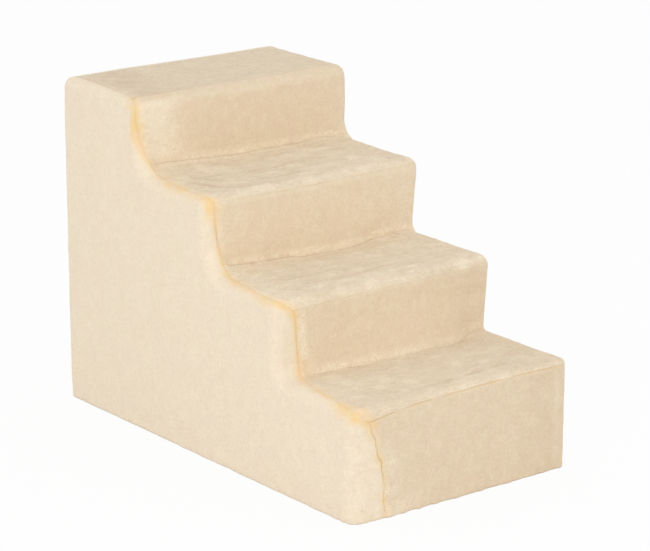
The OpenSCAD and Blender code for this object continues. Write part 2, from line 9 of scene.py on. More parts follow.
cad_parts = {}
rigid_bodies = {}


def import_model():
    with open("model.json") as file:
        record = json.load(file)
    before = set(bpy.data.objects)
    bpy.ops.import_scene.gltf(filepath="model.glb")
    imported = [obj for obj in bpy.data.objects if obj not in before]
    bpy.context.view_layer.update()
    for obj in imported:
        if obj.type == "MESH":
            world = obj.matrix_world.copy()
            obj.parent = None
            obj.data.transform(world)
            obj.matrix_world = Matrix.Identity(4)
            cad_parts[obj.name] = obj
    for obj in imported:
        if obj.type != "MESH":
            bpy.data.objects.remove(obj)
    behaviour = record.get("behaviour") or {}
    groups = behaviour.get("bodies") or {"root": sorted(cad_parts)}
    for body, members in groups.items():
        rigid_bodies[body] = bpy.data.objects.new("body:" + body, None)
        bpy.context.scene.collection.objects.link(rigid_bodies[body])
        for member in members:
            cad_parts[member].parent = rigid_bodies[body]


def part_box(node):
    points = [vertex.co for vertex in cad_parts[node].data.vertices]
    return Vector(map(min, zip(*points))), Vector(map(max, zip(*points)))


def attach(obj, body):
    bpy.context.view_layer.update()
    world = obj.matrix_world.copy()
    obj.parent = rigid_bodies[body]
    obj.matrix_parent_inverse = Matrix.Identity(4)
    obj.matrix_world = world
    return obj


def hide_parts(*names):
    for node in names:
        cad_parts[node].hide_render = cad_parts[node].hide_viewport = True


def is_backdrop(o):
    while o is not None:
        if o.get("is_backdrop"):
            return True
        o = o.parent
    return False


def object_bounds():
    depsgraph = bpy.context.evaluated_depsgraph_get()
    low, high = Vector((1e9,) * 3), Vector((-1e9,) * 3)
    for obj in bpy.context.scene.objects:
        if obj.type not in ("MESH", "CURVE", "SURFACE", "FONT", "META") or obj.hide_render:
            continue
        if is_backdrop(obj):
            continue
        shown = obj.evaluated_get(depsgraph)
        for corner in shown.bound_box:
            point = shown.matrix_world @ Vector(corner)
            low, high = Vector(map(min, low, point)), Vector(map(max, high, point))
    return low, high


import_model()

cad_box = [list(corner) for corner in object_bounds()]


# Camera: it stands well back to the left front of the stairs and looks a little
# down on them through a long lens, as the photograph does.
def placed(name, data):
    """A new object in the scene."""
    made = bpy.data.objects.new(name, data)
    bpy.context.collection.objects.link(made)
    return made


camera = placed("camera", bpy.data.cameras.new("camera"))
camera.data.sensor_width = 36
camera.data.lens = 161.09
camera.data.clip_end = 60
camera.location = (-2.4718, -3.2555, 1.4474)
camera.rotation_mode = "QUATERNION"
looking = Vector((0.58456, 0.76018, -0.28318)).to_track_quat("-Z", "Y")
camera_roll = math.radians(-0.163)
camera.rotation_quaternion = looking @ Quaternion((0, 0, 1), camera_roll)
bpy.context.scene.camera = camera


# Studio: a pale floor that runs out of sight, a large soft lamp at the left front,
# a weaker one at the right front and an even pale surround. Floor and surround look
# nearly white to the camera, without more light on the stairs.
floor_half, floor_grey, floor_glow, surround_light = 14, 0.86, 0.93, 0.88
lamp_aim, lamp_tint = (0, 0, 0.2), (1, 0.985, 0.96)
# Each lamp's place, size in metres and power in watts
lamps = {"left_lamp": ((-2.6, -1.9, 1.5), 2.6, 25), "right_lamp": ((1.6, -2.8, 1.3), 1.8, 8)}


class Finish:
    """A material in the making: its main shader and the nodes that feed it."""

    def __init__(self, made, shader):
        made.use_nodes = True
        self.made = made
        self.nodes = made.node_tree.nodes
        self.shader = self.nodes[shader]

    def put(self, socket, value):
        """Wires an input to the output of a node, or sets it to a plain value."""
        if isinstance(value, bpy.types.NodeSocket):
            self.made.node_tree.links.new(value, socket)
        else:
            socket.default_value = (*value, 1) if socket.type == "RGBA" else value

    def face(self, inputs):
        for name, value in inputs.items():
            self.put(self.shader.inputs[name], value)

    def node(self, kind, output, inputs, **settings):
        """Adds a node and gives one of its outputs."""
        added = self.nodes.new("ShaderNode" + kind)
        for name, value in settings.items():
            setattr(added, name, value)
        for name, value in inputs.items():
            self.put(added.inputs[name], value)
        return added.outputs[output]

    def ramp(self, value, low, high, start=0, stop=1):
        """Spreads a number between two limits onto another range."""
        return self.node("MapRange", "Result", {
            "Value": value, "From Min": low, "From Max": high, "To Min": start, "To Max": stop})


bm = bmesh.new()
bmesh.ops.create_grid(bm, x_segments=4, y_segments=4, size=floor_half)
floor_mesh = bpy.data.meshes.new("studio_floor")
bm.to_mesh(floor_mesh)
bm.free()
studio_floor = placed("studio_floor", floor_mesh)
paint = Finish(bpy.data.materials.new("floor_paint"), "Principled BSDF")
paint.face({"Base Color": (floor_grey,) * 3, "Roughness": 0.9, "Specular IOR Level": 0.1})
seen = paint.node("LightPath", "Is Camera Ray", {})
share = paint.node("Math", 0, {0: seen, 1: floor_glow}, operation="MULTIPLY")
glow = paint.node("Emission", "Emission", {"Color": (1, 1, 1)})
blend = paint.node("MixShader", "Shader", {"Fac": share, 1: paint.shader.outputs["BSDF"], 2: glow})
paint.put(paint.nodes["Material Output"].inputs["Surface"], blend)
floor_mesh.materials.append(paint.made)
studio_floor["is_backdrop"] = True

surround = Finish(bpy.data.worlds.new("surround"), "Background")
bpy.context.scene.world = surround.made
seen = surround.node("LightPath", "Is Camera Ray", {})
surround.face({"Color": (1, 1, 1), "Strength": surround.ramp(seen, 0, 1, surround_light, 1)})

for name, (place, size, power) in lamps.items():
    lamp = placed(name, bpy.data.lights.new(name, "AREA"))
    lamp.data.shape, lamp.data.size = "DISK", size
    lamp.data.energy, lamp.data.color = power, lamp_tint
    lamp.location = place
    lamp.rotation_mode = "QUATERNION"
    lamp.rotation_quaternion = (Vector(lamp_aim) - Vector(place)).to_track_quat("-Z", "Y")
bpy.context.scene.view_settings.view_transform = "Standard"


# Frame of the stairs: two moulded side panels of light grey polypropylene with ledges
# and ribs, and the tread, riser and back boards pegged into the ledges. The moulds
# are spark-eroded, so the skin is finely pitted, with faint flow marks and scuffs.
class Surface(Finish):
    """A piece's finish, patterned over the piece's own coordinates."""

    def __init__(self, name):
        super().__init__(bpy.data.materials.new(name), "Principled BSDF")
        self.place = self.node("TexCoord", "Object", {})

    def noise(self, scale, detail, stretch=(1, 1, 1)):
        """Cloudy noise, a number from 0 to 1."""
        turned = self.node("Mapping", "Vector", {"Vector": self.place, "Scale": stretch})
        return self.node("TexNoise", "Fac", {
            "Vector": turned, "Scale": scale, "Detail": detail, "Roughness": 0.6})

    def mix(self, share, first, second, kind="MIX"):
        """Mixes two colours, each from a node or plain."""
        return self.node("Mix", 2, {0: share, 6: first, 7: second}, data_type="RGBA", blend_type=kind)

    def raised(self, height, strength, distance, under=None):
        """A bump over the surface, or over another bump."""
        inputs = {"Strength": strength, "Distance": distance, "Height": height}
        if under:
            inputs["Normal"] = under
        return self.node("Bump", "Normal", inputs)

    def coat(self, colour, rough, normal, **others):
        """Sets the colour, the roughness, the bumps and what else the finish has."""
        self.face({"Base Color": colour, "Roughness": rough, "Normal": normal, **others})


def toned(colour, *factors):
    """A colour made darker or lighter, whole or by channel."""
    return tuple(c * f for c, f in zip(colour, factors * 3 if len(factors) == 1 else factors))


def moulded(name, colour, flow, stretch):
    """Light grey moulded plastic with a finely pitted skin."""
    plastic = Surface(name)
    pits = plastic.noise(1600, 2)
    marks = plastic.noise(flow, 3, stretch)
    scuffs = plastic.noise(90, 6, (1, 0.2, 3))
    shade = plastic.mix(plastic.ramp(marks, 0.35, 0.7), colour, toned(colour, 0.95, 0.94, 0.91))
    shade = plastic.mix(plastic.ramp(scuffs, 0.62, 0.75), shade, toned(colour, 1.06))
    shade = plastic.mix(plastic.ramp(pits, 0.3, 0.5, 0.35, 0), shade, (0.82, 0.82, 0.82), "MULTIPLY")
    under = plastic.raised(marks, 0.12, 0.001)
    plastic.coat(shade, plastic.ramp(scuffs, 0.4, 0.75, 0.42, 0.62),
                 plastic.raised(pits, 0.25, 0.0003, under), IOR=1.49)
    return plastic


def finish_nodes(surface, *starts):
    """Gives the frame's pieces whose names start like this their finish."""
    for piece in bpy.data.objects:
        if piece.name.startswith(starts):
            for slot in piece.material_slots:
                slot.material = surface.made


finish_nodes(moulded("moulded_side_plastic", (0.8, 0.8, 0.78), 14, (1, 0.35, 1)),
             "left_side_panel", "right_side_panel")
finish_nodes(moulded("moulded_board_plastic", (0.77, 0.77, 0.745), 22, (0.12, 1, 1)),
             "back_board", "tread_board", "riser_board")


# Rails: three ribbed polypropylene rails across the bottom, which tie the side panels
# together. Six countersunk zinc-plated screws go into their ends through each panel.
finish_nodes(moulded("moulded_rail_plastic", (0.74, 0.74, 0.72), 30, (0.1, 1, 1)),
             "front_rail", "middle_rail", "rear_rail")


def plated(name, colour, dull, rough, brushed, stretch):
    """Plated metal with fine brushing, dull spots and fine scratches."""
    metal = Surface(name)
    lines = metal.noise(brushed, 4, stretch)
    spots = metal.noise(420, 3)
    metal.coat(metal.mix(metal.ramp(spots, 0.45, 0.7), colour, dull),
               metal.ramp(lines, 0.3, 0.7, rough - 0.08, rough + 0.12),
               metal.raised(lines, 0.15, 0.0001), Metallic=1)
    return metal


finish_nodes(plated("zinc_plate", (0.74, 0.75, 0.77), (0.6, 0.61, 0.6), 0.3, 900, (1, 4, 4)),
             "rail_screws")


# Feet: four rubber feet, pressed with a barbed stem into the bottom flange. The
# rubber is black, with a fine grain and some dust in it.
rubber = Surface("foot_rubber")
dust = rubber.noise(160, 5)
dusty = rubber.mix(rubber.ramp(dust, 0.5, 0.75, 0, 0.5), (0.022, 0.022, 0.024), (0.085, 0.08, 0.075))
rubber.coat(dusty, rubber.ramp(dust, 0.4, 0.7, 0.62, 0.85),
            rubber.raised(rubber.noise(2200, 2), 0.35, 0.0003))
finish_nodes(rubber, "foot_front", "foot_rear")


# Left side cover: one piece of pale plush cut to the stair outline. Its edge is
# rolled over the steps to a wandering seam, and its hem is rolled in underneath.
# The nap stands a few millimetres proud of the backing that the frame shows.
pile = 3
# All sizes of the cover are in millimetres. A riser's foot lies a lean behind its nose.
side_low, side_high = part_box("left_side_cover")
half_width = -side_low.x * 1000 + pile
front, back = side_low.y * 1000 - pile, side_high.y * 1000 + pile
treads = [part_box("tread_cover_%d" % i)[1].z * 1000 + pile for i in (1, 2, 3, 4)]
noses = [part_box(name)[0].y * 1000 - pile
         for name in ("tread_cover_1", "tread_cover_2", "tread_cover_3", "riser_cover_4")]
lean = 7
# Height of the hem over the floor, its bend, how far it is turned in, and how far the
# turned-in part stands higher. The cover hangs straight from flat_z down to the bend.
hem_z, hem_roll, hem_turn, hem_lift = 0.5, 2.5, 30, 2.2
roll_z = hem_z + hem_roll
under_z = roll_z - hem_turn
flat_z = 14
# Rings of faces down the hem, and the round of its corners at front and back
hem_rings, hem_corner = 13, 9

# The stair outline, corner by corner, as (y, z): nose, foot, nose...
corners = [(front, treads[0])]
for i in (1, 2, 3):
    corners += [(noses[i] + lean, treads[i - 1]), (noses[i], treads[i])]
points = np.array([(front, under_z)] + corners + [(back, treads[3]), (back, under_z)])
is_nose = np.array([1, 0, 1, 0, 1, 0, 1, 1], bool)
runs = points[1:] - points[:-1]
run_lengths = np.linalg.norm(runs, axis=1)
runs = runs / run_lengths[:, None]
outward = np.c_[-runs[:, 1], runs[:, 0]]
shifts = np.zeros((10, 2))
shifts[0], shifts[9] = (1, 0), (-1, 0)
for j in range(8):
    shifts[j + 1] = -(outward[j] + outward[j + 1]) / (1 + outward[j] @ outward[j + 1])
to_last, to_next = -runs[:-1], runs[1:]
half_angles = np.arccos((to_last * to_next).sum(1)) / 2
middles = (to_last + to_next) / np.linalg.norm(to_last + to_next, axis=1)[:, None]
turns = np.sign(to_last[:, 1] * to_next[:, 0] - to_last[:, 0] * to_next[:, 1]) * (
    math.pi - 2 * half_angles)
# Travel along the outline at each corner, from the front hem over the steps to the back
travel = np.concatenate([[0], np.cumsum(run_lengths)])


def unit(value):
    """Keeps a share between 0 and 1."""
    return np.clip(value, 0, 1)


def smooth(low, high, value):
    f = unit((value - low) / (high - low))
    return f * f * (3 - 2 * f)


def near(distance, width):
    """1 on a line, falling softly to 0 over about a width beside it."""
    return np.exp(-(distance / width) ** 2)


def drawn(keys, values, spread=8):
    """A soft curve through the few points of a table, read with one number."""
    at = np.arange(keys[0], keys[-1] + 1)
    kernel = np.exp(-(np.arange(-3 * spread, 3 * spread + 1) / spread) ** 2 / 2)
    soft = np.convolve(np.pad(np.interp(at, keys, values), 3 * spread, mode="edge"),
                       kernel / kernel.sum(), "valid")
    return lambda value: np.interp(value, at, soft)


def along(keys, values, spread=8):
    """The same over travel, with keys that count the corners of the outline."""
    return drawn(np.interp(keys, np.arange(10), travel), values, spread)


def outline(s, inset, rounds):
    """Points and outward directions (y, z) along the outline, an inset inside it,
    with eight corner rounds that may vary from point to point."""
    t = np.interp(s, travel, np.arange(10))
    k = np.clip(np.floor(t).astype(int), 0, 8)
    f = t - k
    begin = points[k] + shifts[k] * inset[:, None]
    end = points[k + 1] + shifts[k + 1] * inset[:, None]
    length = np.linalg.norm(end - begin, axis=1)
    place = begin + (end - begin) * f[:, None]
    facing = outward[k].copy()
    radii = np.stack([np.maximum(r - inset, 0.5) if is_nose[j] else r + inset
                      for j, r in enumerate(rounds)], 1)
    for at_end in (False, True):
        j = np.clip(k if at_end else k - 1, 0, 7)
        there = (k <= 7) if at_end else (k >= 1)
        r = radii[np.arange(len(s)), j]
        reach = r / np.tan(half_angles[j])
        gone = (1 - f) * length if at_end else f * length
        on = there & (gone < reach)
        g = 0.5 - 0.5 * gone / reach if at_end else 0.5 + 0.5 * gone / reach
        corner = end if at_end else begin
        to_centre = middles[j] * (r / np.sin(half_angles[j]))[:, None]
        first = to_last[j] * reach[:, None] - to_centre
        angle = np.arctan2(first[:, 1], first[:, 0]) + turns[j] * g
        ray = np.c_[np.cos(angle), np.sin(angle)]
        place = np.where(on[:, None], corner + to_centre + ray * r[:, None], place)
        facing = np.where(on[:, None], np.where(is_nose[j][:, None], ray, -ray), facing)
    return place, facing


# Rounds of the inner corners at both sides and in the crease between them, and how
# far in from each side the full round ends and the sharp crease begins
left_rounds, right_rounds, crease_round = [20, 44, 44], [7, 14, 25], 2.5
left_full, left_sharp = [38, 22, 16], [68, 55, 43]
right_full, right_sharp = [2, 2, 3], [14, 18, 28]
nose_rounds = [9, 17, 17, 17, 17]


def corner_mix(x):
    """How far each inner corner has gone from a sharp crease to a round hollow."""
    from_left, from_right = x + half_width, half_width - x
    mix, radii = [], []
    for j in range(3):
        left = 1 - smooth(left_full[j], left_sharp[j], from_left)
        right = 1 - smooth(right_full[j], right_sharp[j], from_right)
        mix.append(np.maximum(left, right))
        radii.append(crease_round + left * (left_rounds[j] - crease_round)
                     + right * (right_rounds[j] - crease_round))
    return mix, radii


def all_rounds(x):
    """The rounds of all eight corners in their order, across the steps."""
    rounds = [np.full(len(x), r) for r in nose_rounds]
    for j, hollow in enumerate(corner_mix(x)[1]):
        rounds.insert(2 * j + 1, hollow)
    return rounds


# Round of the edge between each side and the steps: full at the low front corner on
# the left and small at the back. The steps also stand out a little at the nose ends.
# In such tables -1 is the left side and 1 the right.
edge_rounds = {
    -1: along([0, 0.6, 1.1, 7.7, 8.1, 9], [23, 23, 17, 17, 9, 9], 15),
    1: along([0, 4.7, 5.1, 6, 6.6, 7.1, 8, 9], [9, 9, 12, 10, 10, 14, 12, 9], 15)}
nose_puffs = {
    -1: along([0, 0.85, 1.1, 2, 2.9, 3.1, 4, 4.9, 5.1, 6, 9],
        [0.5, 1.5, 0.5, 0, 1, 0.5, 0, 1, 0.5, 0, 0]),
    1: along([0, 0.9, 1.3, 2.1, 2.5, 2.95, 3.4, 4, 4.5, 4.95, 5.3, 6, 6.6, 7, 9],
        [0, 1, 0, 0, 1, 3, 0.5, 2.5, 2.5, 6, 2, 4, 2.5, 0, 0])}
# The top step swells a little towards its left end
top_swelling = 1.6


def skin(s, across, side):
    """Point and outward direction of the smooth cover. across is measured over the
    surface from where the flat side ends, round the edge and then over the step."""
    r = edge_rounds[side](s)
    arc = r * math.pi / 2
    angle = np.clip(across / r, 0, math.pi / 2)
    x_in = np.where(across < arc, r * (1 - np.cos(angle)), r + across - arc)
    x_in = x_in - nose_puffs[side](s) * (1 - smooth(10, 45, across))
    x = side * (half_width - x_in)
    place, facing = outline(s, r * (1 - np.sin(angle)), all_rounds(x))
    swelling = (top_swelling * smooth(470, 500, place[:, 1])
                * smooth(60, -120, x) * smooth(180, 300, place[:, 0]))
    spot = np.c_[x, place[:, 0], place[:, 1] + swelling]
    out = np.c_[side * np.cos(angle), np.sin(angle) * facing[:, 0], np.sin(angle) * facing[:, 1]]
    return spot, out


# Where the seams lie: distance over the edge, by travel along the outline. The right
# seam stays on the edge, where it can't be seen from the front.
seam_lines = {
    -1: along([0, 0.08, 0.15, 0.21, 0.27, 0.344, 0.39, 0.44, 0.493, 0.54, 0.585, 0.632, 0.68,
        0.73, 0.774, 0.845, 0.907, 0.958, 1.088, 1.239, 1.452, 1.684, 1.796, 1.956,
        2.181, 2.415, 2.629, 2.803, 2.904, 2.993, 3.1, 3.28, 3.479, 3.719, 3.941,
        4.104, 4.291, 4.466, 4.655, 4.842, 4.978, 5.049, 5.162, 5.316, 5.497, 5.731,
        5.941, 6.122, 6.4, 6.673, 6.827, 7, 7.141, 7.5, 9],
        [66, 68.5, 66, 68.5, 66.5, 68, 66, 67, 64, 63.5, 59.5, 58, 53,
        52, 48, 44, 36.5, 25.2, 18.8, 21, 26.8, 34, 40, 48,
        51, 46.5, 44.8, 42.2, 35.8, 26.8, 18.2, 20.5, 23, 31, 35.5,
        37.2, 36, 32.8, 29, 28.5, 27.5, 23.8, 21, 21, 22, 30.5,
        32, 27.5, 20.2, 12.5, 9.2, 10, 20, 24, 26], 5),
    1: along([0, 9], [4.5, 4.5])}
# How strongly the warm backing shows along each seam, how far it spreads to both
# sides, and how far the stitched groove sinks and how dark its painted shade is
seam_warmth = {
    -1: along([0, 0.5, 0.8, 0.88, 0.96, 1.1, 1.3, 1.45, 1.7, 1.82, 1.95, 2.1, 2.3, 2.65, 2.8,
        2.9, 3.05, 3.25, 3.5, 3.8, 3.95, 4.2, 4.4, 4.6, 4.75, 4.95, 5.1, 5.3, 5.6, 5.9,
        6.1, 6.4, 6.8, 7, 7.1, 7.25, 9],
        [0.55, 0.62, 0.7, 1.2, 1.4, 1.2, 0.55, 0.8, 0.9, 0.65, 1, 0.7, 0.6, 0.65, 1.2,
        1.35, 1.2, 0.7, 0.85, 0.95, 0.9, 0.85, 0.35, 0.5, 1.3, 1.4, 0.9, 0.6, 1, 0.8,
        0.75, 0.95, 1.15, 1.2, 0.4, 0.06, 0.05], 5),
    1: along([0, 9], [0.2, 0.2])}
seam_spread = {
    -1: along([0, 0.7, 0.85, 0.96, 1.15, 1.3, 1.7, 1.95, 2.15, 2.35, 2.65, 2.8, 2.95, 3.1, 3.3,
        3.8, 4, 4.25, 4.4, 4.62, 4.75, 5, 5.3, 5.6, 5.85, 6.1, 6.4, 6.7, 7, 7.2, 9],
        [5, 6, 10, 14, 12, 6, 6.5, 9, 5.5, 3.5, 4, 8, 13, 11, 7.5,
        8, 6.5, 5, 3, 3.5, 10, 12, 8, 9, 7.5, 6, 8.5, 11, 12, 5, 4], 5),
    1: along([0, 9], [3, 3])}
seam_depth = {
    -1: along([0, 0.3, 0.76, 0.88, 1.1, 2.1, 2.3, 2.6, 2.8, 3, 4.25, 4.4, 4.62, 4.75, 5,
        6.4, 6.7, 7, 7.2, 9],
        [0.1, 0.16, 0.34, 0.06, 0.06, 0.08, 0.16, 0.16, 0.06, 0.05, 0.06, 0.3, 0.28, 0.06, 0.05,
        0.06, 0.1, 0.06, 0.12, 0.3]),
    1: along([0, 9], [0.35, 0.35])}
seam_width = 1.6


def seam_line(side, s):
    """The seam, which runs unevenly through the rough pile of the lowest riser."""
    uneven = smooth(travel[1] - 8, travel[1] - 34, s) * (side < 0)
    return seam_lines[side](s) + uneven * (0.9 * np.sin(s / 5.3) + 0.7 * np.sin(s / 2.9 + 1))


def seam_sink(depth):
    """How far a stitched seam sinks into the pile: further where its painted shade is darker."""
    return 0.15 + 1.6 * depth


lattice = np.random.default_rng(7).uniform(-1, 1, (4, 32, 32, 32))


def cloudy(spots, size, kind=0):
    """Smooth random swelling from -1 to 1 with features of a given size."""
    p = spots / size + 100 * 32
    cell = np.floor(p).astype(int)
    f = p - cell
    f = f * f * (3 - 2 * f)
    total = 0
    for corner in range(8):
        bits = np.array([corner & 1, corner >> 1 & 1, corner >> 2 & 1])
        c = (cell + bits) % 32
        weight = np.prod(np.where(bits, f, 1 - f), axis=1)
        total = total + weight * lattice[kind, c[:, 0], c[:, 1], c[:, 2]]
    return total


def patchy(spots, size, kind, mean, swing, least=0, most=1):
    """Patches of a given size, as a share that stays within limits."""
    return np.clip(mean + swing * cloudy(spots, size, kind), least, most)


def plush_relief(spots):
    """Relief of the pile and of the wadding under it, in millimetres."""
    return (0.1 * cloudy(spots, 3.1, 0) + 0.15 * cloudy(spots, 6.5, 1)
            + 0.26 * cloudy(spots, 15, 2) + 0.6 * cloudy(spots, 48, 3))


def fluffy(spots):
    """How much the pile stands up in tufts beside a seam."""
    return 0.5 + 0.8 * cloudy(spots, 8, 1) + 0.3 * cloudy(spots, 3.5, 2)


def ragged(spots, spread):
    """The width of a warm band, which swells and shrinks along its seam."""
    return spread * (1 + 0.3 * cloudy(spots, 11, 3))


def warm_band(spots, beyond, warmth, spread):
    """How much of the warm backing shows at a distance beyond the stitches."""
    band = warmth * near(np.maximum(beyond, 0), spread)
    return np.clip(band * (0.92 + 0.45 * cloudy(spots, 13, 2)), 0, 0.95)


def hem_gathers(spots):
    """Small gathers that fade out above the rolled hem."""
    low = 1 - smooth(4, 34, spots[:, 2])
    flat = spots * (1, 1, 0.25)
    return low * (cloudy(flat, 17, 1) + 0.7 * cloudy(flat, 8, 2))


def roll_under(spots, out, round_at):
    """Rolls what hangs below the lower edge in under the frame, to a hem that is mitred
    at the corners."""
    drop = np.maximum(roll_z - spots[:, 2], 0)
    angle = np.minimum(drop / hem_roll, math.pi / 2)
    bend = hem_roll * math.pi / 2
    beyond = unit((drop - bend) / (hem_turn - bend))
    from_side = half_width - np.abs(spots[:, 0])
    from_end = np.minimum(spots[:, 1] - front, back - spots[:, 1])
    room = np.clip(np.maximum(from_side, from_end) - 1, 0.8 * round_at, hem_turn)
    inward = hem_roll * (1 - np.cos(angle)) + beyond * (room - hem_roll)
    plan = out[:, :2] / np.maximum(np.linalg.norm(out[:, :2], axis=1), 1e-6)[:, None]
    spots = spots.copy()
    spots[:, :2] -= plan * inward[:, None]
    rolled = roll_z - hem_roll * np.sin(angle) + hem_lift * smooth(0, 0.5, beyond)
    spots[:, 2] = np.where(drop > 0, rolled, spots[:, 2])
    turned = out.copy()
    turned[:, :2] = plan * np.cos(angle)[:, None]
    turned[:, 2] = -np.sin(angle)
    return spots, np.where((drop > 0)[:, None], turned, out)


def graded(length, fine, coarse, growth=0.12, end=True):
    """Fractions from 0 to 1 whose steps are fine at the ends and grow inwards."""
    at = [0]
    while at[-1] < length:
        room = min(at[-1], length - at[-1] if end else at[-1])
        at.append(at[-1] + min(coarse, fine + growth * room))
    return np.array(at) / at[-1]


def grid_of(name, columns, rows):
    """A flat grid whose vertices are then laid out by the arrays that come back."""
    bm = bmesh.new()
    bmesh.ops.create_grid(bm, x_segments=len(columns) - 1, y_segments=len(rows) - 1, size=1)
    mesh = bpy.data.meshes.new(name)
    bm.to_mesh(mesh)
    bm.free()
    flat = np.empty(len(mesh.vertices) * 3)
    mesh.vertices.foreach_get("co", flat)
    flat = flat.reshape(-1, 3)
    i = np.rint((flat[:, 0] + 1) / 2 * (len(columns) - 1)).astype(int)
    j = np.rint((flat[:, 1] + 1) / 2 * (len(rows) - 1)).astype(int)
    return mesh, i, j


def lay(mesh, spots, out, tints):
    """Puts the vertices in place, turns the faces outwards and stores the tints."""
    mesh.vertices.foreach_set("co", (spots / 1000).ravel())
    mesh.update()
    middle = np.empty(len(mesh.polygons) * 3)
    mesh.polygons.foreach_get("normal", middle)
    first = np.empty(len(mesh.polygons), int)
    mesh.polygons.foreach_get("loop_start", first)
    corner = np.empty(len(mesh.loops), int)
    mesh.loops.foreach_get("vertex_index", corner)
    if (middle.reshape(-1, 3) * out[corner[first]]).sum() < 0:
        mesh.flip_normals()
    mesh.polygons.foreach_set("use_smooth", np.ones(len(mesh.polygons), bool))
    for name, values in tints.items():
        mesh.attributes.new(name, "FLOAT", "POINT").data.foreach_set("value", values)
    mesh.update()


def fabric_piece(mesh, surface, node, thickness=3):
    """A finished piece of fabric that stands for a node of the frame."""
    piece = placed(node + "_fabric", mesh)
    mesh.materials.append(surface.made)
    thick = piece.modifiers.new("backing", "SOLIDIFY")
    thick.thickness = thickness / 1000
    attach(piece, "stairs")
    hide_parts(node)
    return piece


# Colours of the pile's tips, which also paint the highlights on raised rims, of the painted shade in
# grooves, creases and darker pile, and of the sides
pile_tip_and_highlight_tone, shade_and_dark_pile_tint, side_tone = (0.91, 0.8, 0.62), (0.5, 0.34, 0.2), (0.88, 0.765, 0.595)


def plush(name, light, dark, rosy, warm, nap=(1, 1, 1), streaks=0.1, treads=None):
    """Short dense pile, mottled because it leans this way and that, with painted shade in
    seams, creases and wrinkles and painted highlights on raised rims. On the treads it
    looks greyer, and towards the sides it takes their tone."""
    cloth = Surface(name)

    def stored(attribute):
        return cloth.node("Attribute", "Fac", {}, attribute_name=attribute)

    def cloud(scale, detail, stretch, *limits):
        return cloth.ramp(cloth.noise(scale, detail, stretch), *limits)

    def mottled(light, dark, rosy, nap, streaks):
        colour, shade = light, toned(dark, 0.8)
        for scale, detail, stretch, low, high, most, tone in (
                (70, 2, nap, 0.35, 0.65, 1, dark),
                (42, 2, (1.3, 1, 0.8), 0.42, 0.62, 0.75, rosy),
                (190, 2, nap, 0.4, 0.72, streaks * 2.8, shade),
                (430, 2, nap, 0.45, 0.75, streaks * 2.4, shade),
                (290, 3, nap, 0.46, 0.7, streaks * 4.5, pile_tip_and_highlight_tone)):
            colour = cloth.mix(cloud(scale, detail, stretch, low, high, 0, most), colour, tone)
        return colour

    colour = mottled(light, dark, rosy, nap, streaks)
    if treads:
        colour = cloth.mix(stored("upper"), colour, mottled(*treads))
        colour = cloth.mix(stored("sidelike"), colour, side_tone)
    backing = cloth.mix(cloud(60, 2, (1, 1, 1), 0.45, 0.65), warm, toned(warm, 1.02, 1.02, 1.3))
    colour = cloth.mix(stored("warm"), colour, backing)
    # Pale pile tips in flecks, which also paint the highlights on raised rims and ridges
    flecked = cloth.node("Math", 0, {0: stored("puffed"), 1: cloud(300, 3, (1, 1, 1), 0.4, 0.6, 0.2, 1)},
                         operation="MULTIPLY")
    colour = cloth.mix(flecked, colour, pile_tip_and_highlight_tone)
    # Painted shade in seams, creases, wrinkles and dents, and some darker pile, multiplied in
    colour = cloth.mix(stored("deep"), colour, shade_and_dark_pile_tint, "MULTIPLY")
    tufts = cloth.raised(cloth.noise(230, 3, nap), 0.3, 0.003)
    cloth.coat(colour, 0.95, cloth.raised(cloth.noise(750, 3, nap), 0.4, 0.0012, tufts),
               **{"Specular IOR Level": 0.1, "Sheen Weight": 0.12, "Sheen Roughness": 0.5})
    return cloth


side_plush = plush("side_plush", (0.9, 0.79, 0.62), (0.87, 0.75, 0.575), (0.88, 0.745, 0.6),
                   (0.88, 0.645, 0.32))
# Lengths over which a side's rows are graded: round its edge and down the flat
edge_runs, side_run = {-1: 60, 1: 12}, 500


